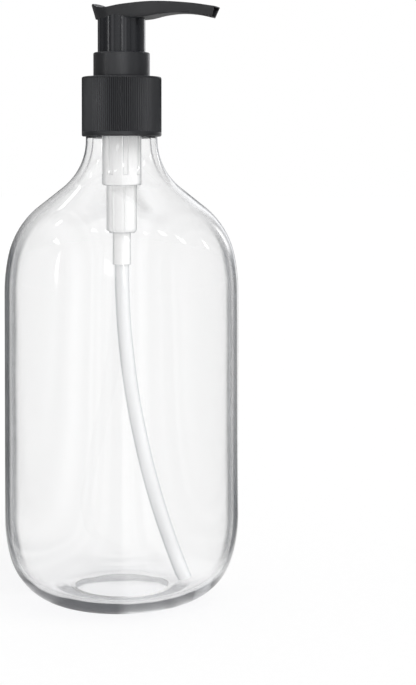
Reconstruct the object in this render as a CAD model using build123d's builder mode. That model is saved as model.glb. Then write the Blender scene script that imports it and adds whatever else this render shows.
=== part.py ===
"""Soap pump dispenser: a clear round bottle with a screw-on lotion pump.

Millimetres, +Z up. The origin is on the bottle's axis, on the surface that it stands on.
The spout points along +X. The dip tube leans away in its own vertical plane.
"""

from build123d import *

import os
from math import asin, cos, radians, sin, tan

# ---------------------------------------------------------------- driving dimensions
BODY_R = 32.5            # bottle body
OVERALL_H = 166.5        # resting surface to the crest of the spout
WALL = 1.7               # bottle side wall
NECK_R = 9.95            # bottle neck where it leaves the closure
RUN = 0.06               # radial clearance of a part that slides or turns in another
FIT = 0.02               # radial clearance of a part that is pushed home for good

# bottle shoulder: a hollow arc out of the neck, a straight cone, two arcs into the wall
HOLLOW_TOP = 128.5
HOLLOW_R = 16.9
CONE_ANGLE = 51.6        # from vertical
SHOULDER_R = 23.7
SHOULDER_EASE_R = 49.2
SHOULDER_EASE = 11.7     # angle of the last, flatter arc

# bottle heel: a flat arc out of the wall, then the round corner down to the foot ring
HEEL_EASE_R = 42.0
HEEL_EASE = 15.0
HEEL_R = 17.3
HEEL_INNER_R = 13.8
HEEL_CREASE = 12.0       # angle at which the inner corner breaks into the floor
FOOT_W = 1.4             # width of the ring that the bottle stands on
FOOT_STEP = 0.8          # height of the bevel inside that ring
PUSH_UP = 2.3            # rise of the recess under the base
FLOOR_RISE = 1.5         # rise of the inner floor from its edge to its centre

# neck finish and closure
NECK_TOP = 142.4
NECK_RING_TOP = 130.0    # the neck is full width up to here, and threaded above
BORE_R = 8.0
THREAD_ROOT_R = 9.0
THREAD_CREST_R = 9.75
CLOSURE_BORE_R = 10.05
CLOSURE_CREST_R = 9.3    # crest of the closure's thread
THREAD_PITCH = 3.175
THREAD_TURNS = 1.4
THREAD_BASE_W = 1.75     # thread section at its root, and at its crest
THREAD_CREST_W = 0.85
THREAD_SINK = 0.15       # how far the thread's root lies inside the wall
THREAD_START = 134.4     # height of the neck thread's lower end
CLOSURE_R = 11.1         # over the ribs
CLOSURE_BOTTOM = 129.4
CLOSURE_TOP = 145.95
CLOSURE_ROOF_T = 1.5
CLOSURE_MOUTH_R = 10.25  # the bore's unthreaded mouth
CLOSURE_EDGE_R = 0.45
RIB_COUNT = 112
RIB_DEPTH = 0.22
PLAIN_BAND = 1.3         # unribbed band at the closure's lower edge

# lock collar
COLLAR_R = 7.86
COLLAR_BOTTOM = 146.05
COLLAR_TOP = 152.7
COLLAR_EDGE_R = 0.45

# pump housing
GASKET_T = 1.0
FLANGE_T = 1.0
FLANGE_R = 9.4
SLEEVE_R = 7.35          # the housing's top, which carries the lock collar
SLEEVE_BORE_R = 6.95
SLEEVE_TOP = 149.2
CUP_R = 7.7              # the part of the housing that stands in the neck
CUP_FLOOR = 141.0
FLOOR_T = 1.0
CYLINDER_R = 5.5
CYLINDER_BORE_R = 4.6
CYLINDER_BOTTOM = 114.7
CYLINDER_EDGE_R = 0.7
LOWER_R = 4.2
LOWER_BORE_R = 3.2
LOWER_BOTTOM = 102.6
LOWER_EDGE_R = 1.3
SOCKET_R = 2.5
SOCKET_BOTTOM = 93.7
GROOVES = 8              # shallow flutes round the cylinder, and fins below them
GROOVE_W = 1.1
GROOVE_DEPTH = 0.22
GROOVE_BOTTOM = 118.2
FLUTE_TURN = 32.0        # angle of the first flute from +X
FIN_W = 0.45
FIN_OUT = 0.2            # how far a fin stands out of the lower section
FIN_RISE = 0.15          # the fins end this far above the lower section's foot

# dip tube
TUBE_R = 2.0
TUBE_BORE_R = 1.4
TUBE_INSERT = 7.4
TUBE_BEND_R = 230.0
TUBE_BEND = 22.7         # degrees that the tube turns between socket and foot
TUBE_TURN = 20.0         # angle of the tube's plane from +X

# head and the parts on its stem
SKIRT_R = 6.65
SKIRT_WALL = 1.0
SKIRT_INSERT = 0.5       # how far the skirt reaches into the collar at rest
BOSS_R = 4.2
BOSS_BOTTOM = 152.6
STEM_R = 3.0
STEM_BORE_R = 1.65
STEM_TOP = 160.6
STEM_STEP = 137.5        # the bore narrows here and stops the outlet ball
STEM_NARROW_R = 1.1
STEM_BOTTOM = 131.2
PISTON_BOTTOM = 131.6
PISTON_H = 4.6
PLUG_FLANGE_R = 4.2
PLUG_FLANGE_T = 1.0
PLUG_FLANGE_TOP = 131.1
PLUG_TOP = 134.0
PLUG_NOSE_R = 1.9
PLUG_NOSE_BOTTOM = 127.5
PLUG_BORE_R = 0.8
GUIDE_BOTTOM = 136.6
GUIDE_FLANGE_T = 1.0
GUIDE_FLANGE_R = 5.35

SPRING_WIRE = 0.7
SPRING_R = 3.75          # mean radius
SPRING_TURNS = 6.0
OUTLET_BALL_R = 1.3
INLET_BALL_R = 1.75
INLET_BALL_LIFT = 1.5
INLET_HOLE_R = 1.2
INLET_SEAT_Z = 104.6     # bottom of the conical seat
CAGE_ROOF_T = 1.0

# spout
MOUTH_X = 27.75
MOUTH_DROP = 3.15        # height of the mouth
MOUTH_SLANT = 18.6       # degrees that the mouth is cut from vertical
MOUTH_HALF_W = 3.3       # the plan outline's size, one millimetre below the crest
PAD_HALF_W = 7.7
REAR = 8.7
HEAD_UNDERSIDE = 162.1
SIDE_DRAFT = 22.0        # the head narrows downwards by this angle
CHANNEL_Z = 164.0        # middle of the channel over the stem

# ---------------------------------------------------------------- levels that follow
GASKET_TOP = NECK_TOP + GASKET_T
FLANGE_TOP = GASKET_TOP + FLANGE_T
CEILING = CLOSURE_TOP - CLOSURE_ROOF_T
SKIRT_BOTTOM = COLLAR_TOP - SKIRT_INSERT
LEDGE = CYLINDER_BOTTOM + 0.9
PLUG_SPIGOT_R = STEM_BORE_R - FIT

os.makedirs("parts", exist_ok=True)


def write(piece, name):
    """Label a finished piece and write it as one STEP file."""
    piece.part.label = name
    export_step(piece.part, f"parts/{name}.step")


def lean(angle):
    """Unit vector that leans outwards from straight down by an angle in degrees."""
    return Vector(sin(radians(angle)), -cos(radians(angle)))


def bottle_side(neck_r, inset):
    """Draw the edges from the neck down to the heel, lying inset inside the outer surface.

    The round stretches share their centres with the outer ones, so the wall is even.
    Returns the point where the flat arc of the heel ends.
    """
    across = BODY_R - NECK_R
    across -= HOLLOW_R * (1 - cos(radians(CONE_ANGLE)))
    across -= SHOULDER_R * (cos(radians(SHOULDER_EASE)) - cos(radians(CONE_ANGLE)))
    across -= SHOULDER_EASE_R * (1 - cos(radians(SHOULDER_EASE)))
    cone_length = across / sin(radians(CONE_ANGLE))
    hollow = JernArc((neck_r, HOLLOW_TOP), (0, -1), HOLLOW_R + inset, CONE_ANGLE)
    cone = Line(hollow @ 1, hollow @ 1 + lean(CONE_ANGLE) * cone_length)
    shoulder = JernArc(cone @ 1, lean(CONE_ANGLE), SHOULDER_R - inset, SHOULDER_EASE - CONE_ANGLE)
    ease = JernArc(shoulder @ 1, lean(SHOULDER_EASE), SHOULDER_EASE_R - inset, -SHOULDER_EASE)
    heel_top = HEEL_EASE_R * sin(radians(HEEL_EASE)) + HEEL_R * (1 - sin(radians(HEEL_EASE)))
    wall = Line(ease @ 1, (BODY_R - inset, heel_top))
    heel_ease = JernArc(wall @ 1, (0, -1), HEEL_EASE_R - inset, -HEEL_EASE)
    return heel_ease @ 1


def dome(edge_r, edge_z, rise):
    """Draw the arc of a shallow dome from its edge up to its centre on the axis."""
    dome_r = (edge_r**2 + rise**2) / (2 * rise)
    half_angle = asin(edge_r / dome_r)
    middle = (dome_r * sin(half_angle / 2), edge_z + rise - dome_r * (1 - cos(half_angle / 2)))
    ThreePointArc((edge_r, edge_z), middle, (0, edge_z + rise))


def thread_section(root_r, crest_r, start):
    """Draw a thread's trapezoid on the XZ plane, its base sunk a little into the wall."""
    base = root_r - THREAD_SINK if crest_r > root_r else root_r + THREAD_SINK
    Polyline(
        (base, start - THREAD_BASE_W / 2),
        (crest_r, start - THREAD_CREST_W / 2),
        (crest_r, start + THREAD_CREST_W / 2),
        (base, start + THREAD_BASE_W / 2),
        close=True,
    )


# ---------------------------------------------------------------- bottle
with BuildPart() as neck_thread:
    with BuildSketch(Plane.XZ):
        with BuildLine():
            thread_section(THREAD_ROOT_R, THREAD_CREST_R, THREAD_START)
        make_face()
    sweep(
        path=Helix(THREAD_PITCH, THREAD_PITCH * THREAD_TURNS, THREAD_ROOT_R, center=(0, 0, THREAD_START)),
        is_frenet=True,
    )

with BuildPart() as bottle:
    foot_r = BODY_R - HEEL_EASE_R * (1 - cos(radians(HEEL_EASE))) - HEEL_R * cos(radians(HEEL_EASE))
    bevel_r = foot_r - 2 * FOOT_W
    with BuildSketch(Plane.XZ):
        with BuildLine():
            heel = bottle_side(NECK_R, 0)
            JernArc(heel, lean(-HEEL_EASE), HEEL_R, HEEL_EASE - 90)
            Polyline((foot_r, 0), (foot_r - FOOT_W, 0), (bevel_r, FOOT_STEP))
            dome(bevel_r, FOOT_STEP, PUSH_UP - FOOT_STEP)
            Polyline(
                (0, PUSH_UP),
                (0, NECK_TOP),
                (THREAD_ROOT_R, NECK_TOP),
                (THREAD_ROOT_R, NECK_RING_TOP),
                (NECK_R, NECK_RING_TOP),
                (NECK_R, HOLLOW_TOP),
            )
        make_face()
    revolve(axis=Axis.Z)
    with BuildSketch(Plane.XZ):
        with BuildLine():
            inner_heel = bottle_side(NECK_R - WALL, WALL)
            corner = JernArc(inner_heel, lean(-HEEL_EASE), HEEL_INNER_R, HEEL_EASE + HEEL_CREASE - 90)
            crease = corner @ 1
            dome(crease.X, crease.Y, FLOOR_RISE)
            Polyline(
                (0, crease.Y + FLOOR_RISE),
                (0, NECK_TOP + 1),
                (BORE_R, NECK_TOP + 1),
                (BORE_R, NECK_RING_TOP + 1),
                (NECK_R - WALL, HOLLOW_TOP),
            )
        make_face()
    revolve(axis=Axis.Z, mode=Mode.SUBTRACT)
    add(neck_thread.part)

# ---------------------------------------------------------------- closure
with BuildPart() as closure_thread:
    closure_start = THREAD_START - THREAD_PITCH / 2
    with BuildSketch(Plane.XZ):
        with BuildLine():
            thread_section(CLOSURE_BORE_R, CLOSURE_CREST_R, closure_start)
        make_face()
    sweep(
        path=Helix(THREAD_PITCH, THREAD_PITCH * THREAD_TURNS, CLOSURE_BORE_R, center=(0, 0, closure_start)),
        is_frenet=True,
    )

with BuildPart() as closure:
    with BuildSketch(Plane.XY.offset(CLOSURE_BOTTOM)):
        Circle(CLOSURE_R)
    extrude(amount=CLOSURE_TOP - CLOSURE_BOTTOM)
    fillet(closure.edges().filter_by(GeomType.CIRCLE), CLOSURE_EDGE_R)
    with BuildSketch(Plane.XY.offset(CLOSURE_BOTTOM)):
        Circle(CLOSURE_BORE_R)
    extrude(amount=CEILING - CLOSURE_BOTTOM, mode=Mode.SUBTRACT)
    with BuildSketch(Plane.XY.offset(CLOSURE_BOTTOM)):
        Circle(CLOSURE_MOUTH_R)
    extrude(amount=PLAIN_BAND, mode=Mode.SUBTRACT)
    with BuildSketch(Plane.XY.offset(CEILING)):
        Circle(SLEEVE_R + RUN)
    extrude(amount=CLOSURE_ROOF_T, mode=Mode.SUBTRACT)
    # valleys between the grip ribs: narrow wedges cut into the side
    valley_w = radians(360 / RIB_COUNT) * CLOSURE_R * 0.8
    with BuildSketch(Plane.XY.offset(CLOSURE_BOTTOM + PLAIN_BAND)):
        with PolarLocations(CLOSURE_R, RIB_COUNT):
            with BuildLine():
                Polyline((0.1, valley_w / 2), (-RIB_DEPTH, 0), (0.1, -valley_w / 2), close=True)
            make_face()
    extrude(amount=CLOSURE_TOP - CLOSURE_EDGE_R - CLOSURE_BOTTOM - PLAIN_BAND, mode=Mode.SUBTRACT)
    add(closure_thread.part)

# ---------------------------------------------------------------- neck gasket
with BuildPart() as neck_gasket:
    with BuildSketch(Plane.XY.offset(NECK_TOP)):
        Circle(FLANGE_R)
        Circle(CUP_R + 0.05, mode=Mode.SUBTRACT)
    extrude(amount=GASKET_T)

# ---------------------------------------------------------------- housing
with BuildPart() as housing:
    with BuildSketch(Plane.XZ):
        with BuildLine():
            Polyline(
                (SLEEVE_BORE_R, SLEEVE_TOP),
                (SLEEVE_R - 0.15, SLEEVE_TOP),
                (SLEEVE_R, SLEEVE_TOP - 0.3),
                (SLEEVE_R, FLANGE_TOP),
                (FLANGE_R, FLANGE_TOP),
                (FLANGE_R, GASKET_TOP),
                (CUP_R, GASKET_TOP),
                (CUP_R, CUP_FLOOR - FLOOR_T),
                (CYLINDER_R, CUP_FLOOR - FLOOR_T),
                (CYLINDER_R, CYLINDER_BOTTOM),
                (LOWER_R, CYLINDER_BOTTOM),
                (LOWER_R, LOWER_BOTTOM),
                (SOCKET_R, LOWER_BOTTOM),
                (SOCKET_R, SOCKET_BOTTOM),
                (TUBE_R + FIT, SOCKET_BOTTOM),
                (TUBE_R + FIT, SOCKET_BOTTOM + TUBE_INSERT),
                (INLET_HOLE_R, SOCKET_BOTTOM + TUBE_INSERT),
                (INLET_HOLE_R, INLET_SEAT_Z),
                (LOWER_BORE_R, INLET_SEAT_Z + LOWER_BORE_R - INLET_HOLE_R),
                (LOWER_BORE_R, LEDGE),
                (CYLINDER_BORE_R, LEDGE),
                (CYLINDER_BORE_R, CUP_FLOOR),
                (SLEEVE_BORE_R, CUP_FLOOR),
                close=True,
            )
        make_face()
    revolve(axis=Axis.Z)
    circles = housing.edges().filter_by(GeomType.CIRCLE)
    cylinder_foot = circles.filter_by(lambda e: abs(e.radius - CYLINDER_R) < 0.01).sort_by(Axis.Z)[0]
    lower_foot = circles.filter_by(lambda e: abs(e.radius - LOWER_R) < 0.01).sort_by(Axis.Z)[0]
    fillet(cylinder_foot, CYLINDER_EDGE_R)
    fillet(lower_foot, LOWER_EDGE_R)
    # flutes down the cylinder
    with BuildSketch(Plane.XY.offset(GROOVE_BOTTOM)):
        with PolarLocations(CYLINDER_R, GROOVES, start_angle=FLUTE_TURN):
            Rectangle(2 * GROOVE_DEPTH, GROOVE_W)
    extrude(amount=CUP_FLOOR - FLOOR_T - GROOVE_BOTTOM, mode=Mode.SUBTRACT)
    # fins down the lower section, ending in small toes on its rounded foot
    fin_depth = LOWER_R + FIN_OUT - LOWER_BORE_R
    with BuildSketch(Plane.XY.offset(LOWER_BOTTOM + FIN_RISE)):
        with PolarLocations(LOWER_R + FIN_OUT - fin_depth / 2, GROOVES, start_angle=FLUTE_TURN):
            Rectangle(fin_depth, FIN_W)
    extrude(amount=CYLINDER_BOTTOM - LOWER_BOTTOM - FIN_RISE)

# ---------------------------------------------------------------- lock collar
with BuildPart() as lock_collar:
    with BuildSketch(Plane.XY.offset(COLLAR_BOTTOM)):
        Circle(COLLAR_R)
    extrude(amount=COLLAR_TOP - COLLAR_BOTTOM)
    fillet(lock_collar.edges().group_by(Axis.Z)[-1], COLLAR_EDGE_R)
    with BuildSketch(Plane.XY.offset(COLLAR_BOTTOM)):
        Circle(SLEEVE_R + FIT)
    extrude(amount=SLEEVE_TOP + 0.1 - COLLAR_BOTTOM, mode=Mode.SUBTRACT)
    with BuildSketch(Plane.XY.offset(COLLAR_BOTTOM)):
        Circle(SKIRT_R + RUN)
    extrude(amount=COLLAR_TOP - COLLAR_BOTTOM, mode=Mode.SUBTRACT)

# ---------------------------------------------------------------- stem guide
with BuildPart() as stem_guide:
    with BuildSketch(Plane.XY.offset(GUIDE_BOTTOM)):
        Circle(CYLINDER_BORE_R - FIT)
    extrude(amount=CUP_FLOOR - GUIDE_BOTTOM)
    with BuildSketch(Plane.XY.offset(CUP_FLOOR)):
        Circle(GUIDE_FLANGE_R)
    extrude(amount=GUIDE_FLANGE_T)
    with BuildSketch(Plane.XY.offset(GUIDE_BOTTOM)):
        Circle(STEM_R + RUN)
    extrude(amount=CUP_FLOOR + GUIDE_FLANGE_T - GUIDE_BOTTOM, mode=Mode.SUBTRACT)

# ---------------------------------------------------------------- piston
with BuildPart() as piston:
    with BuildSketch(Plane.XZ):
        lip_r = CYLINDER_BORE_R - RUN
        waist_r = lip_r - 0.4
        with BuildLine():
            Polyline(
                (STEM_R + RUN, PISTON_BOTTOM),
                (lip_r, PISTON_BOTTOM),
                (lip_r, PISTON_BOTTOM + 0.8),
                (waist_r, PISTON_BOTTOM + 1.3),
                (waist_r, PISTON_BOTTOM + PISTON_H - 1.3),
                (lip_r, PISTON_BOTTOM + PISTON_H - 0.8),
                (lip_r, PISTON_BOTTOM + PISTON_H),
                (STEM_R + RUN, PISTON_BOTTOM + PISTON_H),
                close=True,
            )
        make_face()
    revolve(axis=Axis.Z)

# ---------------------------------------------------------------- stem and its plug
with BuildPart() as upper_stem:
    with BuildSketch(Plane.XY.offset(STEM_BOTTOM)):
        Circle(STEM_R)
        Circle(STEM_BORE_R, mode=Mode.SUBTRACT)
    extrude(amount=STEM_STEP - STEM_BOTTOM)
    with BuildSketch(Plane.XY.offset(STEM_STEP)):
        Circle(STEM_R)
        Circle(STEM_NARROW_R, mode=Mode.SUBTRACT)
    extrude(amount=STEM_TOP - STEM_STEP)

with BuildPart() as lower_stem:
    with BuildSketch(Plane.XZ):
        with BuildLine():
            Polyline(
                (PLUG_BORE_R, PLUG_NOSE_BOTTOM),
                (PLUG_NOSE_R - 0.5, PLUG_NOSE_BOTTOM),
                (PLUG_NOSE_R, PLUG_NOSE_BOTTOM + 1.2),
                (PLUG_NOSE_R, PLUG_FLANGE_TOP - PLUG_FLANGE_T),
                (PLUG_FLANGE_R, PLUG_FLANGE_TOP - PLUG_FLANGE_T),
                (PLUG_FLANGE_R, PLUG_FLANGE_TOP),
                (PLUG_SPIGOT_R, PLUG_FLANGE_TOP),
                (PLUG_SPIGOT_R, PLUG_TOP),
                (PLUG_BORE_R, PLUG_TOP),
                close=True,
            )
        make_face()
    revolve(axis=Axis.Z)

# ---------------------------------------------------------------- balls
outlet_ball_z = PLUG_TOP + (OUTLET_BALL_R**2 - PLUG_BORE_R**2) ** 0.5 + 0.03
with BuildPart(Plane.XY.offset(outlet_ball_z)) as outlet_ball:
    Sphere(OUTLET_BALL_R)

# the seat's cone stands at 45 degrees, so the ball touches it at its own 45-degree circle
inlet_ball_z = INLET_SEAT_Z - INLET_HOLE_R + INLET_BALL_R * 2**0.5 + 0.04
with BuildPart(Plane.XY.offset(inlet_ball_z)) as inlet_ball:
    Sphere(INLET_BALL_R)

# ---------------------------------------------------------------- ball cage
with BuildPart() as ball_cage:
    cage_bottom = INLET_SEAT_Z + LOWER_BORE_R - INLET_HOLE_R + 0.1
    cage_roof = inlet_ball_z + INLET_BALL_R + INLET_BALL_LIFT + 0.05
    with BuildSketch(Plane.XY.offset(cage_bottom)):
        Circle(LOWER_BORE_R - FIT)
    extrude(amount=cage_roof + CAGE_ROOF_T - cage_bottom)
    with BuildSketch(Plane.XY.offset(cage_bottom)):
        Circle(INLET_BALL_R + 0.35)
    extrude(amount=cage_roof - cage_bottom, mode=Mode.SUBTRACT)
    # a cross-shaped opening lets the soap through and keeps the ball in
    with BuildSketch(Plane.XY.offset(cage_roof)):
        Circle(0.9)
        Rectangle(3.6, 0.7)
        Rectangle(0.7, 3.6)
    extrude(amount=CAGE_ROOF_T, mode=Mode.SUBTRACT)

# ---------------------------------------------------------------- spring
spring_bottom = LEDGE + SPRING_WIRE / 2 + 0.03
spring_top = PLUG_FLANGE_TOP - PLUG_FLANGE_T - SPRING_WIRE / 2 - 0.03
spring_height = spring_top - spring_bottom
with BuildPart() as spring:
    with BuildSketch(Plane(origin=(SPRING_R, 0, spring_bottom), z_dir=(0, 1, 0))):
        Circle(SPRING_WIRE / 2)
    sweep(
        path=Helix(spring_height / SPRING_TURNS, spring_height, SPRING_R, center=(0, 0, spring_bottom)),
        is_frenet=True,
    )

# ---------------------------------------------------------------- dip tube
tube_plane = Plane(origin=(0, 0, 0), x_dir=(cos(radians(TUBE_TURN)), sin(radians(TUBE_TURN)), 0),
                   z_dir=(sin(radians(TUBE_TURN)), -cos(radians(TUBE_TURN)), 0))
with BuildPart() as dip_tube:
    tube_top = SOCKET_BOTTOM + TUBE_INSERT - 0.1
    with BuildLine(tube_plane) as tube_path:
        straight = Line((0, tube_top), (0, SOCKET_BOTTOM))
        JernArc(straight @ 1, (0, -1), TUBE_BEND_R, TUBE_BEND)
    with BuildSketch(Plane.XY.offset(tube_top)):
        Circle(TUBE_R)
        Circle(TUBE_BORE_R, mode=Mode.SUBTRACT)
    sweep(path=tube_path.line)

# ---------------------------------------------------------------- pump head
def head_side():
    """Draw the head's side outline: saddle, arch, slanted mouth and hollow underside."""
    mouth_top = Vector(MOUTH_X, OVERALL_H - 1.7)
    mouth_foot = mouth_top - Vector(MOUTH_DROP * tan(radians(MOUTH_SLANT)), MOUTH_DROP)
    top = Spline(
        (-REAR, OVERALL_H - 0.7),
        (-4.0, OVERALL_H - 1.4),
        (2.5, OVERALL_H - 0.6),
        (11.0, OVERALL_H),
        (20.4, OVERALL_H - 0.6),
        mouth_top,
        tangents=[(1, -0.3), (1, -0.2)],
    )
    Line(top @ 1, mouth_foot)
    under = Spline(
        mouth_foot,
        (17.0, HEAD_UNDERSIDE + 1.15),
        (7.2, HEAD_UNDERSIDE),
        tangents=[(-1, 0.35), (-1, -0.05)],
    )
    Polyline(under @ 1, (3 - REAR, HEAD_UNDERSIDE - 0.1), (1.4 - REAR, HEAD_UNDERSIDE - 0.2), top @ 0)


def head_plan(narrower):
    """Draw the head's outline seen from above: a round pad that runs out into the spout."""
    rear = REAR - narrower
    half = PAD_HALF_W - narrower
    mouth = MOUTH_HALF_W - narrower
    end = MOUTH_X + 2
    shoulder = (15.0, mouth + 0.75)
    left = Spline((0, half), (5.5, half - 0.9), shoulder, (end, mouth), tangents=[(1, 0), (1, -0.03)])
    Line(left @ 1, (end, -mouth))
    right = Spline(
        (end, -mouth),
        (15.0, -mouth - 0.75),
        (5.5, 0.9 - half),
        (0, -half),
        tangents=[(-1, -0.03), (-1, 0)],
    )
    ThreePointArc(right @ 1, (-rear, 0), left @ 0)


def channel_section(height, drop, half_top, half_foot):
    """Draw one upright section of the spout's channel, which narrows downwards."""
    Polyline(
        (-half_top, height + drop / 2),
        (half_top, height + drop / 2),
        (half_foot, height - drop / 2),
        (-half_foot, height - drop / 2),
        close=True,
    )


draft = tan(radians(SIDE_DRAFT))
with BuildPart() as pump_head:
    with BuildSketch(Plane.XY.offset(OVERALL_H + 0.5)):
        with BuildLine():
            head_plan(-draft)
        make_face()
    with BuildSketch(Plane.XY.offset(HEAD_UNDERSIDE - 1.0)):
        with BuildLine():
            head_plan(draft * (OVERALL_H - 0.5 - HEAD_UNDERSIDE))
        make_face()
    loft(ruled=True)
    with BuildSketch(Plane.XZ):
        with BuildLine():
            head_side()
        make_face()
    extrude(amount=12, both=True, mode=Mode.INTERSECT)
    with BuildSketch(Plane.XY.offset(SKIRT_BOTTOM)):
        Circle(SKIRT_R)
        Circle(SKIRT_R - SKIRT_WALL, mode=Mode.SUBTRACT)
    extrude(amount=HEAD_UNDERSIDE + 0.9 - SKIRT_BOTTOM)
    with BuildSketch(Plane.XY.offset(BOSS_BOTTOM)):
        Circle(BOSS_R)
    extrude(amount=HEAD_UNDERSIDE + 0.5 - BOSS_BOTTOM)
    with BuildSketch(Plane.XY.offset(BOSS_BOTTOM)):
        Circle(STEM_R)
    extrude(amount=STEM_TOP - BOSS_BOTTOM, mode=Mode.SUBTRACT)
    with BuildSketch(Plane.XY.offset(STEM_TOP)):
        Circle(STEM_BORE_R)
    extrude(amount=CHANNEL_Z - STEM_TOP, mode=Mode.SUBTRACT)
    # the channel runs from over the stem to the mouth, thinnest under the arch
    for along, rise, drop, half_top, half_foot in (
        (-STEM_BORE_R, 0.0, 1.6, 1.5, 1.2),
        (10.0, 0.8, 1.8, 2.5, 2.0),
        (19.0, 0.6, 1.5, 2.4, 1.8),
        (MOUTH_X + 1.5, -1.4, 2.3, 2.35, 1.25),
    ):
        with BuildSketch(Plane.YZ.offset(along)):
            with BuildLine():
                channel_section(CHANNEL_Z + rise, drop, half_top, half_foot)
            make_face()
    loft(mode=Mode.SUBTRACT)

for piece, name in (
    (bottle, "bottle"),
    (closure, "closure"),
    (neck_gasket, "neck_gasket"),
    (housing, "housing"),
    (lock_collar, "lock_collar"),
    (stem_guide, "stem_guide"),
    (piston, "piston"),
    (upper_stem, "upper_stem"),
    (lower_stem, "lower_stem"),
    (outlet_ball, "outlet_ball"),
    (inlet_ball, "inlet_ball"),
    (ball_cage, "ball_cage"),
    (spring, "spring"),
    (dip_tube, "dip_tube"),
    (pump_head, "pump_head"),
):
    write(piece, name)
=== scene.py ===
"""Finish of a soap pump dispenser: a clear PET bottle with a dark, screw-on lotion pump.

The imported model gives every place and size. This script builds the visible pieces round it,
gives them their materials, and sets up a small studio.
"""

from math import asin, atan2, cos, exp, pi, radians, sin, sqrt, tan

import bmesh
import bpy
from mathutils import Matrix, Vector


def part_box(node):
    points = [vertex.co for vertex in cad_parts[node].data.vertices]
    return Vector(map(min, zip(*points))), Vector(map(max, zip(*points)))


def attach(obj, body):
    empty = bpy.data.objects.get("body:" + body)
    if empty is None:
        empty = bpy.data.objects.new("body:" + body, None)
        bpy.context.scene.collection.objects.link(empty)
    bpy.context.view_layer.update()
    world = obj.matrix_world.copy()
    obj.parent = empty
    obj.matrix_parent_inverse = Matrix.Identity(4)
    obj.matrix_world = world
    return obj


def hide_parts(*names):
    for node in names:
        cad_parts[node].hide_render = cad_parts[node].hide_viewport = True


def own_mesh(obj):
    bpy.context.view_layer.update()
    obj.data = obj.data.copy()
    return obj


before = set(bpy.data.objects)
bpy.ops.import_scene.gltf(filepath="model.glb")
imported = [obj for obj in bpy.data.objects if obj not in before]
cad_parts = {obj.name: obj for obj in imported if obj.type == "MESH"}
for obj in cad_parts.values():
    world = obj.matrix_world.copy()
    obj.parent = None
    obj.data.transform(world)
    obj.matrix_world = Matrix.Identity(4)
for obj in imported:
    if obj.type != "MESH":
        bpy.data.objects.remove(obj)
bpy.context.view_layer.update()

bl_info = {
    "name": "Soap pump dispenser",
    "version": (1, 0, 0),
    "blender": (4, 5, 0),
    "location": "View3D > Sidebar > Dispenser",
    "description": "Builds a clear bottle with a screw-on lotion pump",
    "category": "Object",
}

MM = 0.001


def box_mm(node):
    """A node's lowest and highest corners at rest, in millimetres."""
    low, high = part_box(node)
    return Vector(low) / MM, Vector(high) / MM


BOTTLE = box_mm("bottle")
CLOSURE = box_mm("closure")
COLLAR = box_mm("lock_collar")
HEAD = box_mm("pump_head")
TUBE = box_mm("dip_tube")
SPRING = box_mm("spring")


# ---------------------------------------------------------------- settings
def length(name, text, default):
    """A size in millimetres that a user may change."""
    return bpy.props.FloatProperty(name=name, description=text, default=default, min=0.0, precision=3)


def angle(name, text, default):
    """An angle that a user may change."""
    return bpy.props.FloatProperty(name=name, description=text, default=radians(default), subtype="ANGLE")


def linear(hex_value):
    """An sRGB hex colour as linear RGBA."""
    channels = [int(hex_value[i : i + 2], 16) / 255 for i in (1, 3, 5)]
    return [c / 12.92 if c <= 0.04045 else ((c + 0.055) / 1.055) ** 2.4 for c in channels] + [1.0]


def scaled(rgba, factor):
    """A colour made lighter or darker by a factor, and opaque."""
    return [channel * factor for channel in rgba[:3]] + [1.0]


def colour(name, text, default):
    """A colour that a user may change, given as sRGB hex."""
    return bpy.props.FloatVectorProperty(
        name=name, description=text, default=linear(default), size=4, min=0.0, max=1.0, subtype="COLOR"
    )


class DISPENSER_PG_sizes(bpy.types.PropertyGroup):
    """Sizes of the visible pieces, in millimetres."""

    wall: length("Bottle wall", "Thickness of the bottle's side wall", 1.7)
    neck_r: length("Neck radius", "Bottle neck under the closure", 9.95)
    hollow_top: length("Shoulder top", "Height where the neck starts to flare", 128.5)
    hollow_r: length("Shoulder hollow", "Radius of the hollow arc out of the neck", 16.9)
    cone_angle: angle("Shoulder slope", "Slope of the shoulder's cone from vertical", 51.6)
    shoulder_r: length("Shoulder radius", "Radius of the shoulder's round", 23.7)
    shoulder_ease_r: length("Shoulder ease radius", "Radius of the flatter arc into the wall", 49.2)
    shoulder_ease: angle("Shoulder ease", "Turn of the flatter arc into the wall", 11.7)
    heel_ease_r: length("Heel ease radius", "Radius of the flatter arc out of the wall", 42.0)
    heel_ease: angle("Heel ease", "Turn of the flatter arc out of the wall", 15.0)
    heel_r: length("Heel radius", "Radius of the round corner at the base", 17.3)
    heel_inner_r: length("Inner heel radius", "Radius of the inside corner at the base", 13.8)
    heel_crease: angle("Inner heel crease", "Angle at which the corner breaks into the floor", 12.0)
    foot_w: length("Foot ring width", "Width of the ring that the bottle stands on", 1.4)
    push_up: length("Push-up", "Rise of the recess under the base", 2.3)
    floor_rise: length("Floor rise", "Rise of the inner floor to its centre", 1.5)
    bore_r: length("Neck bore", "Radius of the bore in the neck", 8.0)
    thread_root_r: length("Thread root", "Radius of the neck under its thread", 9.0)
    thread_crest_r: length("Thread crest", "Radius over the neck thread", 9.75)
    thread_pitch: length("Thread pitch", "Rise of the thread in one turn", 3.175)
    rib_depth: length("Rib depth", "Depth of the closure's grip ribs", 0.26)
    rib_count: bpy.props.IntProperty(
        name="Ribs", description="Grip ribs round the closure", default=112, min=3
    )


class DISPENSER_PG_colours(bpy.types.PropertyGroup):
    """Colours of the finishes."""

    black: colour("Dark polypropylene", "Satin moulded head, collar and closure", "#1a1b1e")
    white: colour("White polypropylene", "Pump housing", "#fbfbfa")
    tube: colour("Tube polyethylene", "Dip tube", "#fcfdfd")
    clear: colour("Clear PET", "Bottle", "#fdfdfd")


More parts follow.
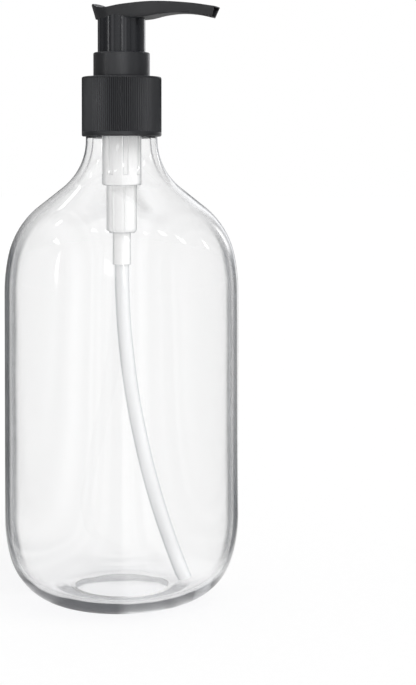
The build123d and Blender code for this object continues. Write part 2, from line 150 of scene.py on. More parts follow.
# ---------------------------------------------------------------- mesh helpers
def turn(centre, radius, start, end, steps):
    """Points along an arc in a profile, from one angle to another, both ends included."""
    return [
        Vector((centre[0] + radius * cos(start + (end - start) * i / steps),
                centre[1] + radius * sin(start + (end - start) * i / steps)))
        for i in range(steps + 1)
    ]


def tidy(bm, reach=1e-4):
    """Merge the vertices that lie within reach of each other and turn the faces outwards."""
    bmesh.ops.remove_doubles(bm, verts=bm.verts, dist=reach)
    bmesh.ops.dissolve_degenerate(bm, edges=bm.edges, dist=reach)
    bmesh.ops.recalc_face_normals(bm, faces=bm.faces)


def finish_piece(bm, name, body, material, nodes=(), smooth_angle=35.0):
    """Turn a bmesh in millimetres into a finished piece that rides on a body."""
    bmesh.ops.scale(bm, vec=(MM, MM, MM), verts=bm.verts)
    mesh = bpy.data.meshes.new(name)
    for face in bm.faces:
        face.smooth = True
    limit = radians(smooth_angle)
    for edge in bm.edges:
        edge.smooth = not (len(edge.link_faces) == 2 and edge.calc_face_angle(0.0) > limit)
    bm.to_mesh(mesh)
    bm.free()
    mesh.materials.append(material)
    piece = bpy.data.objects.new(name, mesh)
    bpy.context.scene.collection.objects.link(piece)
    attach(piece, body)
    if nodes:
        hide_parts(*nodes)
    return piece


def add_profile(bm, points, closed=True):
    """Add a profile's vertices and edges on the XZ plane and return its geometry."""
    verts = [bm.verts.new((p[0], 0.0, p[1])) for p in points]
    pairs = list(zip(verts, verts[1:] + verts[:1])) if closed else list(zip(verts, verts[1:]))
    edges = [bm.edges.new(pair) for pair in pairs]
    return verts + edges


def lathe(bm, points, steps=128, closed=True):
    """Spin a profile of (radius, height) points about the object's axis into a closed shell."""
    geometry = add_profile(bm, points, closed)
    bmesh.ops.spin(
        bm, geom=geometry, cent=(0, 0, 0), axis=(0, 0, 1), angle=2 * pi, steps=steps, use_merge=True
    )


def soften(bm, offset, segments=3, least=40.0):
    """Round every sharp edge by a small radius, as a mould does."""
    sharp = [e for e in bm.edges if len(e.link_faces) == 2 and e.calc_face_angle(0.0) > radians(least)]
    bmesh.ops.bevel(
        bm, geom=sharp, offset=offset, affect="EDGES", segments=segments, profile=0.5, material=-1,
        clamp_overlap=True,
    )


def plain(radius):
    """A ring's radius that is the same at every angle."""
    return lambda a: radius


def ring_stack(bm, rings, count):
    """Stack rings of count vertices in an empty bmesh, and close the last ring on the first.

    A ring is its height and a function that gives its radius at an angle.
    """

    def shape(verts, height, radius):
        for v in verts:
            a = atan2(v.co.y, v.co.x)
            r = radius(a)
            v.co = (r * cos(a), r * sin(a), height)

    circle = bmesh.ops.create_circle(bm, cap_ends=False, radius=1.0, segments=count)["verts"]
    shape(circle, *rings[0])
    first = list(bm.edges)
    edges = first
    for height, radius in rings[1:]:
        grown = bmesh.ops.extrude_edge_only(bm, edges=edges)["geom"]
        verts = {g for g in grown if isinstance(g, bmesh.types.BMVert)}
        edges = [g for g in grown if isinstance(g, bmesh.types.BMEdge) and verts.issuperset(g.verts)]
        shape(verts, height, radius)
    bmesh.ops.bridge_loops(bm, edges=first + edges)


# ---------------------------------------------------------------- materials
# a Mix node's sockets for colours, by number because their names repeat: two inputs and the output
MIX_A, MIX_B, MIX_RESULT = 6, 7, 2
# and its two inputs for plain numbers
MIX_FLOAT_A, MIX_FLOAT_B = 2, 3


def node(tree, kind, settings=None, links=None):
    """Add a node, set its sockets and its own values, and link its inputs from other nodes.

    A socket is given by its name, or by its number where names repeat.
    """
    made = tree.nodes.new(kind)
    for key, value in (settings or {}).items():
        if isinstance(key, int) or key in made.inputs:
            made.inputs[key].default_value = value
        else:
            setattr(made, key, value)
    for socket, (source, output) in (links or {}).items():
        tree.links.new(source.outputs[output], made.inputs[socket])
    return made


def new_material(name):
    """An empty node material with its output."""
    material = bpy.data.materials.new(name)
    material.use_nodes = True
    material.node_tree.nodes.clear()
    return material, material.node_tree, material.node_tree.nodes.new("ShaderNodeOutputMaterial")


def moulded_plastic(name, base, shade, roughness, grain_mm, grain_depth, ior=1.49, edge=None):
    """Injection-moulded plastic: a fine spark-eroded grain in the gloss, and a faint cloud in the colour."""
    material, tree, output = new_material(name)
    place = node(tree, "ShaderNodeTexCoord")
    cloud = node(tree, "ShaderNodeTexNoise", {"Scale": 1 / (9 * MM), "Detail": 3.0},
                 {"Vector": (place, "Object")})
    tint = node(tree, "ShaderNodeMix", {"data_type": "RGBA", MIX_A: base, MIX_B: shade},
                {"Factor": (cloud, "Fac")})
    if edge:
        # painted shade: a pale part is greyed where its surface turns away, as its rims would fall into shade
        facing = node(tree, "ShaderNodeLayerWeight", {"Blend": 0.5})
        rim_shade_mask = node(tree, "ShaderNodeMapRange", {"From Min": 0.35, "From Max": 0.9},
                    {"Value": (facing, "Facing")})
        tint = node(tree, "ShaderNodeMix", {"data_type": "RGBA", MIX_B: edge},
                    {"Factor": (rim_shade_mask, "Result"), MIX_A: (tint, MIX_RESULT)})
    grain = node(tree, "ShaderNodeTexNoise", {"Scale": 1 / (grain_mm * MM), "Detail": 2.0},
                 {"Vector": (place, "Object")})
    gloss = node(tree, "ShaderNodeMapRange",
                 {"From Min": 0.3, "From Max": 0.7, "To Min": roughness - 0.04, "To Max": roughness + 0.05},
                 {"Value": (grain, "Fac")})
    bump = node(tree, "ShaderNodeBump", {"Strength": 0.35, "Distance": grain_depth * MM},
                {"Height": (grain, "Fac")})
    shader = node(tree, "ShaderNodeBsdfPrincipled", {"IOR": ior},
                  {"Base Color": (tint, MIX_RESULT), "Roughness": (gloss, "Result"),
                   "Normal": (bump, "Normal")})
    tree.links.new(shader.outputs["BSDF"], output.inputs["Surface"])
    return material


def clear_pet(name, tint):
    """Blow-moulded PET: clear and glossy, with the slow waves that a blown wall has."""
    material, tree, output = new_material(name)
    place = node(tree, "ShaderNodeTexCoord")
    stretch = node(tree, "ShaderNodeMapping", {"Scale": (1.0, 1.0, 0.55)}, {"Vector": (place, "Object")})
    waves = node(tree, "ShaderNodeTexNoise", {"Scale": 1 / (14 * MM), "Detail": 1.5, "Roughness": 0.4},
                 {"Vector": (stretch, "Vector")})
    bump = node(tree, "ShaderNodeBump", {"Strength": 0.25, "Distance": 0.4 * MM}, {"Height": (waves, "Fac")})
    # the wall is deeper to a ray that skims it, and its upright edges get a dark line of painted shade, which stands
    # for the dark surroundings that such a ray takes in
    facing = node(tree, "ShaderNodeLayerWeight", {"Blend": 0.5})
    rim_shade_mask = node(tree, "ShaderNodeMapRange",
                {"From Min": 0.63, "From Max": 0.75, "interpolation_type": "SMOOTHSTEP"},
                {"Value": (facing, "Facing")})
    normal = node(tree, "ShaderNodeSeparateXYZ", None, {"Vector": (place, "Normal")})
    squared = node(tree, "ShaderNodeMath", {"operation": "MULTIPLY"},
                   {0: (normal, "Z"), 1: (normal, "Z")})
    upright = node(tree, "ShaderNodeMapRange",
                   {"From Min": 0.05, "From Max": 0.5, "To Min": 1.0, "To Max": 0.0},
                   {"Value": (squared, "Value")})
    skim_shade_weight = node(tree, "ShaderNodeMath", {"operation": "MULTIPLY"},
                {0: (rim_shade_mask, "Result"), 1: (upright, "Result")})
    painted_edge_tint = node(tree, "ShaderNodeMix", {"data_type": "RGBA", MIX_A: tint, MIX_B: linear("#404347")},
                      {"Factor": (skim_shade_weight, "Value")})
    path = node(tree, "ShaderNodeLightPath")
    # a ray that gloss has thrown on twice goes straight out, because an uneven wall lets it leak, and it is greyed
    # with painted shade, mostly in the heel where such rays gather
    caught = node(tree, "ShaderNodeMath", {"operation": "GREATER_THAN", 1: 1.5}, {0: (path, "Glossy Depth")})
    bend = node(tree, "ShaderNodeMapRange", {"To Min": 1.57, "To Max": 1.0}, {"Value": (caught, "Value")})
    leak_shade_tint = node(tree, "ShaderNodeMix", {"data_type": "RGBA", MIX_B: linear("#8c8d90")},
                  {"Factor": (caught, "Value"), MIX_A: (painted_edge_tint, MIX_RESULT)})
    shader = node(tree, "ShaderNodeBsdfPrincipled", {"Roughness": 0.0, "Transmission Weight": 1.0},
                  {"Normal": (bump, "Normal"), "Base Color": (leak_shade_tint, MIX_RESULT), "IOR": (bend, "Result")})
    depth = node(tree, "ShaderNodeVolumeAbsorption", {"Color": (0.84, 0.85, 0.86, 1.0), "Density": 9.0})
    tree.links.new(depth.outputs["Volume"], output.inputs["Volume"])
    # light reaches the pump and the floor through the wall, so rays that carry it pass with a slight loss
    through = node(tree, "ShaderNodeBsdfTransparent", {"Color": (0.985, 0.985, 0.988, 1.0)})
    carried = node(tree, "ShaderNodeMath", {"operation": "MAXIMUM"},
                   {0: (path, "Is Shadow Ray"), 1: (path, "Is Diffuse Ray")})
    mix = node(tree, "ShaderNodeMixShader", None,
               {0: (carried, "Value"), 1: (shader, "BSDF"), 2: (through, "BSDF")})
    tree.links.new(mix.outputs["Shader"], output.inputs["Surface"])
    return material


def drawn_tube(name, tint):
    """Extruded LDPE tube: milky and waxy, light passes but no image does."""
    material, tree, output = new_material(name)
    place = node(tree, "ShaderNodeTexCoord")
    lines = node(tree, "ShaderNodeTexNoise", {"Scale": 1 / (1.2 * MM), "Detail": 1.0},
                 {"Vector": (place, "Object")})
    gloss = node(tree, "ShaderNodeMapRange", {"To Min": 0.25, "To Max": 0.4}, {"Value": (lines, "Fac")})
    bump = node(tree, "ShaderNodeBump", {"Strength": 0.1, "Distance": 0.05 * MM}, {"Height": (lines, "Fac")})
    # its sides are seen through more wall, and they are greyed with painted shade for that
    facing = node(tree, "ShaderNodeLayerWeight", {"Blend": 0.5})
    rim_shade_mask = node(tree, "ShaderNodeMapRange", {"From Min": 0.2, "From Max": 0.85},
                {"Value": (facing, "Facing")})
    wall = node(tree, "ShaderNodeMix", {"data_type": "RGBA", MIX_A: tint, MIX_B: linear("#c3c6c9")},
                {"Factor": (rim_shade_mask, "Result")})
    shader = node(tree, "ShaderNodeBsdfPrincipled", {"IOR": 1.51, "Transmission Weight": 0.12},
                  {"Base Color": (wall, MIX_RESULT), "Roughness": (gloss, "Result"),
                   "Normal": (bump, "Normal")})
    tree.links.new(shader.outputs["BSDF"], output.inputs["Surface"])
    return material


def drawn_metal(name, tint, roughness, streak_mm):
    """Stainless steel, drawn or polished: its gloss varies a little from place to place."""
    material, tree, output = new_material(name)
    place = node(tree, "ShaderNodeTexCoord")
    streaks = node(tree, "ShaderNodeTexNoise", {"Scale": 1 / (streak_mm * MM), "Detail": 2.0},
                   {"Vector": (place, "Object")})
    gloss = node(tree, "ShaderNodeMapRange", {"To Min": roughness * 0.7, "To Max": roughness * 1.4},
                 {"Value": (streaks, "Fac")})
    shader = node(tree, "ShaderNodeBsdfPrincipled", {"Base Color": tint, "Metallic": 1.0},
                  {"Roughness": (gloss, "Result")})
    tree.links.new(shader.outputs["BSDF"], output.inputs["Surface"])
    return material


# ---------------------------------------------------------------- bottle
def bottle_side(size, neck_r, inset):
    """The bottle's side from the neck down to the heel, lying inset inside the outer surface."""
    body_r = BOTTLE[1].x
    slope, ease = size.cone_angle, size.shoulder_ease
    wall_steps = 8
    across = body_r - size.neck_r
    across -= size.hollow_r * (1 - cos(slope))
    across -= size.shoulder_r * (cos(ease) - cos(slope))
    across -= size.shoulder_ease_r * (1 - cos(ease))
    cone_length = across / sin(slope)
    centre = (neck_r + size.hollow_r + inset, size.hollow_top)
    points = turn(centre, size.hollow_r + inset, pi, pi + slope, steps=14)
    foot = points[-1] + Vector((sin(slope), -cos(slope))) * cone_length
    radius = size.shoulder_r - inset
    centre = foot - Vector((cos(slope), sin(slope))) * radius
    points += turn(centre, radius, slope, ease, steps=14)
    radius = size.shoulder_ease_r - inset
    centre = points[-1] - Vector((cos(ease), sin(ease))) * radius
    points += turn(centre, radius, ease, 0.0, steps=6)[1:]
    heel_top = size.heel_ease_r * sin(size.heel_ease) + size.heel_r * (1 - sin(size.heel_ease))
    start = points[-1].y
    for i in range(1, wall_steps):
        points.append(Vector((body_r - inset, start + (heel_top - start) * i / wall_steps)))
    radius = size.heel_ease_r - inset
    points += turn((body_r - inset - radius, heel_top), radius, 0.0, -size.heel_ease, steps=5)
    return points


def dome(edge_r, edge_z, rise, steps):
    """A shallow dome from its edge up to its centre on the axis."""
    radius = (edge_r**2 + rise**2) / (2 * rise)
    half = asin(edge_r / radius)
    return turn((0.0, edge_z + rise - radius), radius, pi / 2 - half, pi / 2, steps)[1:]


class DISPENSER_OT_bottle(bpy.types.Operator):
    """Spin the clear bottle with its even wall, and wind its neck thread"""

    bl_idname = "dispenser.bottle"
    bl_label = "Bottle"

    def execute(self, context):
        size = context.scene.dispenser_sizes
        colours = context.scene.dispenser_colours
        neck_top = BOTTLE[1].z
        # the neck steps in to its threaded part a little above the closure's lower edge
        step_top = CLOSURE[0].z + 0.6
        foot_rise, lip, edge = 0.8, 0.2, 0.15
        outer = bottle_side(size, size.neck_r, 0.0)
        heading = -size.heel_ease
        centre = outer[-1] - Vector((cos(heading), sin(heading))) * size.heel_r
        outer += turn(centre, size.heel_r, heading, -pi / 2, steps=14)[1:]
        foot_r = outer[-1].x
        recess_r = foot_r - 2 * size.foot_w
        outer += [Vector((foot_r - size.foot_w, 0.0)), Vector((recess_r, foot_rise))]
        outer += dome(recess_r, foot_rise, size.push_up - foot_rise, steps=8)
        inner = bottle_side(size, size.neck_r - size.wall, size.wall)
        centre = inner[-1] - Vector((cos(heading), sin(heading))) * size.heel_inner_r
        inner += turn(centre, size.heel_inner_r, heading, size.heel_crease - pi / 2, steps=12)[1:]
        inner += dome(inner[-1].x, inner[-1].y, size.floor_rise, steps=8)
        neck = [
            Vector((size.neck_r - size.wall - 0.1, step_top + 0.6)),
            Vector((size.bore_r, step_top + 1.0)),
            Vector((size.bore_r, neck_top - lip)),
            Vector((size.bore_r + lip, neck_top)),
            Vector((size.thread_root_r - lip, neck_top)),
            Vector((size.thread_root_r, neck_top - lip)),
            Vector((size.thread_root_r, step_top)),
            Vector((size.neck_r - edge, step_top)),
            Vector((size.neck_r, step_top - edge)),
        ]
        bm = bmesh.new()
        lathe(bm, list(reversed(inner)) + neck + outer, steps=160, closed=False)
        tidy(bm)

        # the thread's foot lies inside the neck's wall, so no gap shows between them
        sunk_r, crest_r = size.thread_root_r - 0.2, size.thread_crest_r
        start, foot_half, crest_half = 134.4, 0.87, 0.42
        turns, steps = 1.4, 68
        section = [
            (sunk_r, start - foot_half),
            (crest_r, start - crest_half),
            (crest_r, start + crest_half),
            (sunk_r, start + foot_half),
        ]
        thread = bmesh.new()
        bmesh.ops.spin(
            thread, geom=add_profile(thread, section), cent=(0, 0, 0), axis=(0, 0, 1),
            angle=turns * 2 * pi, steps=steps, dvec=(0, 0, size.thread_pitch * turns / steps),
        )
        ends = [e for e in thread.edges if len(e.link_faces) == 1]
        bmesh.ops.holes_fill(thread, edges=ends)
        tidy(thread)
        mesh = bpy.data.meshes.new("thread")
        thread.to_mesh(mesh)
        thread.free()
        bm.from_mesh(mesh)
        bpy.data.meshes.remove(mesh)
        finish_piece(bm, "bottle_clear", "bottle", clear_pet("PET_blow_moulded_clear", colours.clear),
                     nodes=("bottle",), smooth_angle=25.0)
        return {"FINISHED"}


# ---------------------------------------------------------------- closure and collar
class DISPENSER_OT_closure(bpy.types.Operator):
    """Build the ribbed closure ring and the plain lock collar"""

    bl_idname = "dispenser.closure"
    bl_label = "Closure and lock collar"

    def execute(self, context):
        size = context.scene.dispenser_sizes
        black = bpy.data.materials["Polypropylene_satin_black"]
        low, high, outer_r = CLOSURE[0].z, CLOSURE[1].z, CLOSURE[1].x
        hole_r, bore_r, mouth_r = 7.42, 10.05, 10.25
        roof, mouth_depth, band = 1.5, 1.3, 1.25
        # the outer edges are round, and the others are broken by a small bevel
        round_r, bevel, hole_bevel = 0.45, 0.15, 0.2
        rib_run_out, top_inset = 0.1, 0.04
        rib_step = 2 * pi / size.rib_count

        def ribbed(radius):
            """The radius of a ring whose ribs stand out to it."""
            return lambda a: radius - size.rib_depth * (0.5 - 0.5 * cos(a / rib_step * 2 * pi))

        rings = [(low + bevel, plain(mouth_r)), (low, plain(mouth_r + bevel))]
        rings += [(low, plain(outer_r - round_r))]
        low_round = turn((outer_r - round_r, low + round_r), round_r, -pi / 2, 0.0, steps=5)
        rings += [(p.y, plain(p.x)) for p in low_round[1:]]
        rings += [(low + band, plain(outer_r)), (low + band + bevel, ribbed(outer_r))]
        rings += [(high - round_r - rib_run_out, ribbed(outer_r))]
        rings += [(high - round_r, plain(outer_r - top_inset))]
        high_round = turn((outer_r - round_r, high - round_r), round_r, 0.0, pi / 2, steps=5)
        rings += [(p.y, plain(p.x)) for p in high_round[1:]]
        rings += [(high, plain(hole_r + hole_bevel)), (high - hole_bevel, plain(hole_r))]
        rings += [(high - roof, plain(hole_r)), (high - roof, plain(bore_r))]
        rings += [(low + mouth_depth, plain(bore_r)), (low + mouth_depth, plain(mouth_r))]
        bm = bmesh.new()
        # four vertices for each rib
        ring_stack(bm, rings, size.rib_count * 4)
        tidy(bm)
        finish_piece(bm, "closure_ribbed", "closure", black, nodes=("closure",),
                     smooth_angle=30.0)

        low, high, outer_r = COLLAR[0].z, COLLAR[1].z, COLLAR[1].x
        bore_r, seat_r, seat_z = 6.71, 7.37, 149.3
        profile = [(seat_r, low), (outer_r - bevel, low), (outer_r, low + bevel)]
        profile += turn((outer_r - round_r, high - round_r), round_r, 0.0, pi / 2, steps=6)
        profile += [(bore_r + bevel, high), (bore_r, high - bevel), (bore_r, seat_z), (seat_r, seat_z)]
        bm = bmesh.new()
        lathe(bm, profile, steps=128)
        tidy(bm)
        finish_piece(bm, "lock_collar_plain", "pump_body", black, nodes=("lock_collar",))
        return {"FINISHED"}


# ---------------------------------------------------------------- head
class DISPENSER_OT_head(bpy.types.Operator):
    """Build the press pad, the curved spout with its open channel, and the skirt"""

    bl_idname = "dispenser.head"
    bl_label = "Pump head"

    def execute(self, context):
        satin = bpy.data.materials["Polypropylene_satin_black"]
        gloss = bpy.data.materials["Polypropylene_gloss_black"]
        crest = HEAD[1].z
        mouth_x = HEAD[1].x
        rear = -HEAD[0].x
        bm = bmesh.new()

        def smooth_curve(knots):
            """Cubic Hermite curve through given knots, with slopes from its neighbours."""
            slopes = []
            for i in range(len(knots)):
                a, b = knots[max(i - 1, 0)], knots[min(i + 1, len(knots) - 1)]
                slopes.append((b[1] - a[1]) / (b[0] - a[0]))

            def value(x):
                i = 0
                while i < len(knots) - 2 and x > knots[i + 1][0]:
                    i += 1
                (x0, y0), (x1, y1) = knots[i], knots[i + 1]
                h = x1 - x0
                t = (x - x0) / h
                return (
                    (2 * t**3 - 3 * t**2 + 1) * y0
                    + (t**3 - 2 * t**2 + t) * h * slopes[i]
                    + (3 * t**2 - 2 * t**3) * y1
                    + (t**3 - t**2) * h * slopes[i + 1]
                )

            return value

        draft = tan(radians(22.0))
        low_rear = rear - draft * 4.0
        top = smooth_curve([(-low_rear, crest - 1.0), (0.35 - low_rear, crest - 0.55), (1.0 - low_rear, crest - 0.42),
                            (-5.6, crest - 1.0), (-3.2, crest - 1.45), (2.5, crest - 0.62),
                            (11.0, crest - 0.02),
                            (20.4, crest - 0.62), (mouth_x, crest - 1.75), (mouth_x + 2, crest - 2.15)])
        foot = crest - 4.4
        under = smooth_curve([(-rear, foot - 0.2), (7.2, foot), (12.0, foot + 0.75), (17.0, foot + 1.1),
                              (22.0, foot + 0.65), (mouth_x - 1, foot - 0.45), (mouth_x + 2, foot - 1.3)])
        half, mouth_half = 7.65, 3.25

        def half_width(x, narrower):
            pad, back, mouth = half - narrower, rear - narrower, mouth_half - narrower
            if x < 0:
                radius = (pad**2 + back**2) / (2 * back)
                return sqrt(max(radius**2 - (x + back - radius) ** 2, 0.0))
            return mouth + (pad - mouth) * exp(-((x / 11.3) ** 2))

        def place_ring(verts, x, shrink=1.0):
            """Place a ring of 16 vertices as a tapered section that is crowned on top."""
            z_top, z_under = top(x), under(x)
            wide = half_width(x, draft * (crest - 1.0 - z_top)) * shrink
            narrow = half_width(x, draft * (crest - 1.0 - z_under)) * shrink
            crown = 0.02 * wide**2 * 0.3
            across = [-1.0, -0.62, -0.25, 0.25, 0.62, 1.0]
            path = [(wide * c, z_top - crown * c * c) for c in across]
            path += [(wide + (narrow - wide) * t, z_top - crown + (z_under - z_top + crown) * t) for t in (0.35, 0.7)]
            path += [(narrow * -c, z_under) for c in across]
            path += [(-(wide + (narrow - wide) * t), z_top - crown + (z_under - z_top + crown) * t) for t in (0.7, 0.35)]
            for v, (y, z) in zip(verts, path):
                v.co = (x, y, z)

        count = 16
        ring = [bm.verts.new((0, 0, 0)) for _ in range(count)]
        edges = [bm.edges.new((ring[i], ring[(i + 1) % count])) for i in range(count)]
        # the rear rounds off in plan, so its sections close up on each other
        stations = [low_rear * -cos(pi / 2 * (i + 1) / 9) for i in range(0, 8)]
        stations += [mouth_x * i / 26 for i in range(0, 27)] + [mouth_x + 1.9]
        place_ring(ring, stations[0])
        bm.faces.new(list(reversed(ring)))
        for x in stations[1:]:
            grown = bmesh.ops.extrude_edge_only(bm, edges=edges)["geom"]
            verts = [g for g in grown if isinstance(g, bmesh.types.BMVert)]
            # the new ring keeps the order of the ring that it grew from
            fresh = []
            for old in ring:
                fresh.append(next(e.other_vert(old) for e in old.link_edges if e.other_vert(old) in verts))
            ring = fresh
            edges = [next(e for e in ring[i].link_edges if e.other_vert(ring[i]) is ring[(i + 1) % count]) for i in range(count)]
            place_ring(ring, x)
        # the mouth is cut on a slant
        slant = radians(18.6)
        cut = Vector((mouth_x, 0, crest - 1.7))
        bmesh.ops.bisect_plane(
            bm, geom=bm.verts[:] + bm.edges[:] + bm.faces[:], dist=1e-5, plane_co=cut,
            plane_no=(cos(slant), 0, -sin(slant)), clear_outer=True,
        )
        tidy(bm)
        rim = [e for e in bm.edges if e.is_boundary]
        face = bmesh.ops.holes_fill(bm, edges=rim)["faces"][0]
        bmesh.ops.inset_region(bm, faces=[face], thickness=0.3, depth=0.0)
        depth = 12.0
        for i in range(8):
            made = bmesh.ops.extrude_discrete_faces(bm, faces=[face])["faces"]
            face = made[0]
            x = mouth_x - 0.8 - depth * (i + 1) / 8
            middle = Vector((x, 0, (top(x) + under(x)) / 2))
            shift = middle - face.calc_center_median()
            bmesh.ops.translate(bm, verts=face.verts, vec=shift)
            bmesh.ops.scale(bm, verts=face.verts, vec=(0.9, 1.0, 0.96), space=Matrix.Translation(-middle))
            # the channel's deeper walls take the second material, whose near-black is painted shade
            if i > 0:
                for wall in {f for v in face.verts for f in v.link_faces}:
                    wall.material_index = 1
        tidy(bm)
        soften(bm, 0.16, 3, 38.0)
        tidy(bm, 0.01)
        piece = finish_piece(bm, "pump_head_pad_and_spout", "head", satin, nodes=("pump_head",),
                             smooth_angle=40.0)
        piece.data.materials.append(bpy.data.materials["Polypropylene_black_painted_channel_shade"])

        skirt_r, skirt_wall = 6.65, 1.0
        low, high = HEAD[0].z, foot + 0.9
        bm = bmesh.new()
        profile = [(skirt_r - skirt_wall, high), (skirt_r - skirt_wall, low), (skirt_r - 0.2, low), (skirt_r, low + 0.2), (skirt_r, high)]
        lathe(bm, profile, steps=128)
        boss_low = 152.6
        lathe(bm, [(3.0, foot + 0.3), (3.0, boss_low + 0.2), (3.2, boss_low), (4.0, boss_low), (4.2, boss_low + 0.2), (4.2, foot + 0.3)], steps=64)
        tidy(bm)
        finish_piece(bm, "pump_head_skirt", "head", gloss)
        return {"FINISHED"}


# ---------------------------------------------------------------- housing and tube
class DISPENSER_OT_housing(bpy.types.Operator):
    """Build the white pump housing with its flutes and fins, the dip tube and the return spring"""

    bl_idname = "dispenser.housing"
    bl_label = "Housing, dip tube and spring"

    def execute(self, context):
        colours = context.scene.dispenser_colours
        white = bpy.data.materials["Polypropylene_moulded_white"]
        features, first = 8, radians(32.0)

        def ridged(radius, height, width):
            """A ring's radius with eight fins of a height, or flutes where the height is negative."""

            def at(a):
                step = 2 * pi / features
                away = abs((a - first + step / 2) % step - step / 2)
                return radius + (height if away * radius < width / 2 else 0.0)

            return at

        cup_r, cup_bore_r, cup_top, cup_floor = 7.35, 6.95, 149.2, 141.0
        flange_r, flange_high, flange_low = 9.4, 144.4, 143.4
        plug_r, plug_low = 7.7, 140.0
        barrel_r, barrel_bore_r, barrel_low, barrel_round = 5.5, 4.6, 114.7, 0.7
        flute = (-0.32, 1.15)
        flute_low, run_out = 118.3, 0.1
        lower_r, lower_bore_r, lower_bore_top, lower_low, lower_round = 4.2, 3.2, 115.6, 102.6, 1.3
        fin = (0.2, 0.5)
        inlet_r, seat_low, seat_high = 1.2, 104.6, 106.6
        socket_r, socket_bore_r, socket_low, socket_floor, bevel = 2.5, 2.02, 93.7, 101.1, 0.15
        rings = [
            (cup_top, plain(cup_bore_r)),
            (cup_top, plain(cup_r - bevel)),
            (cup_top - 2 * bevel, plain(cup_r)),
            (flange_high, plain(cup_r)),
            (flange_high, plain(flange_r)),
            (flange_low, plain(flange_r)),
            (flange_low, plain(plug_r)),
            (plug_low, plain(plug_r)),
            (plug_low, plain(barrel_r)),
            (plug_low - run_out, ridged(barrel_r, *flute)),
            (flute_low, ridged(barrel_r, *flute)),
            (flute_low - run_out, plain(barrel_r)),
        ]
        centre = (barrel_r - barrel_round, barrel_low + barrel_round)
        rings += [(p.y, plain(p.x)) for p in turn(centre, barrel_round, 0.0, -pi / 2, steps=5)]
        rings += [(barrel_low, ridged(lower_r, *fin))]
        centre = (lower_r - lower_round, lower_low + lower_round)
        rings += [(p.y, ridged(p.x, *fin)) for p in turn(centre, lower_round, 0.0, -radians(75), steps=6)]
        rings += [
            (lower_low, plain(lower_r - 1.1)),
            (lower_low, plain(socket_r)),
            (socket_low + bevel, plain(socket_r)),
            (socket_low, plain(socket_r - bevel)),
            (socket_low, plain(socket_bore_r)),
            (socket_floor, plain(socket_bore_r)),
            (socket_floor, plain(inlet_r)),
            (seat_low, plain(inlet_r)),
            (seat_high, plain(lower_bore_r)),
            (lower_bore_top, plain(lower_bore_r)),
            (lower_bore_top, plain(barrel_bore_r)),
            (cup_floor, plain(barrel_bore_r)),
            (cup_floor, plain(cup_bore_r)),
        ]
        bm = bmesh.new()
        ring_stack(bm, rings, count=features * 24)
        tidy(bm)
        finish_piece(bm, "housing_white", "pump_body", white, nodes=("housing",),
                     smooth_angle=32.0)

        outer_r, bore_r, sides = 2.0, 1.4, 40
        bend_r, bend, bend_steps = 230.0, radians(22.7), 60
        # the tube is straight in its socket and then bends towards this bearing
        lean = radians(20.0)
        toward = Vector((cos(lean), sin(lean), 0.0))
        sideways = Vector((sin(lean), -cos(lean), 0.0))
        up = Vector((0, 0, 1))
        stations = [(up * TUBE[1].z, 0.0), (up * socket_low, 0.0)]
        middle = toward * bend_r + up * socket_low
        for i in range(1, bend_steps + 1):
            a = bend * i / bend_steps
            stations.append((middle - (toward * cos(a) + up * sin(a)) * bend_r, a))
        # the rings go down the outside and come back up the bore, and the last one closes on the first
        sections = [(centre, a, outer_r) for centre, a in stations]
        sections += [(centre, a, bore_r) for centre, a in reversed(stations)]
        tube = bmesh.new()
        loops = []
        for centre, a, radius in sections:
            out = toward * cos(a) + up * sin(a)
            loop = []
            for k in range(sides):
                t = 2 * pi * k / sides
                loop.append(tube.verts.new(centre + (out * cos(t) + sideways * sin(t)) * radius))
            loops.append(loop)
        for here, there in zip(loops, loops[1:] + loops[:1]):
            for k in range(sides):
                tube.faces.new((here[k], here[k - 1], there[k - 1], there[k]))
        tidy(tube)
        finish_piece(tube, "dip_tube_bent", "pump_body", drawn_tube("LDPE_tube_milky", colours.tube),
                     nodes=("dip_tube",), smooth_angle=50.0)

        wire_r, coil_r, turns, steps = 0.35, 3.75, 6.0, 180
        low, high = SPRING[0].z + wire_r, SPRING[1].z - wire_r
        upright = Matrix.Translation((coil_r, 0, low)) @ Matrix.Rotation(pi / 2, 4, "X")
        coil = bmesh.new()
        bmesh.ops.create_circle(coil, cap_ends=False, radius=wire_r, segments=10, matrix=upright)
        bmesh.ops.spin(
            coil, geom=coil.verts[:] + coil.edges[:], cent=(0, 0, 0), axis=(0, 0, 1),
            angle=turns * 2 * pi, steps=steps, dvec=(0, 0, (high - low) / steps),
        )
        bmesh.ops.holes_fill(coil, edges=[e for e in coil.edges if e.is_boundary])
        tidy(coil)
        spring = finish_piece(coil, "return_spring", "pump_body", bpy.data.materials["Stainless_spring_wire"],
                              nodes=("spring",), smooth_angle=60.0)
        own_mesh(spring)
        return {"FINISHED"}


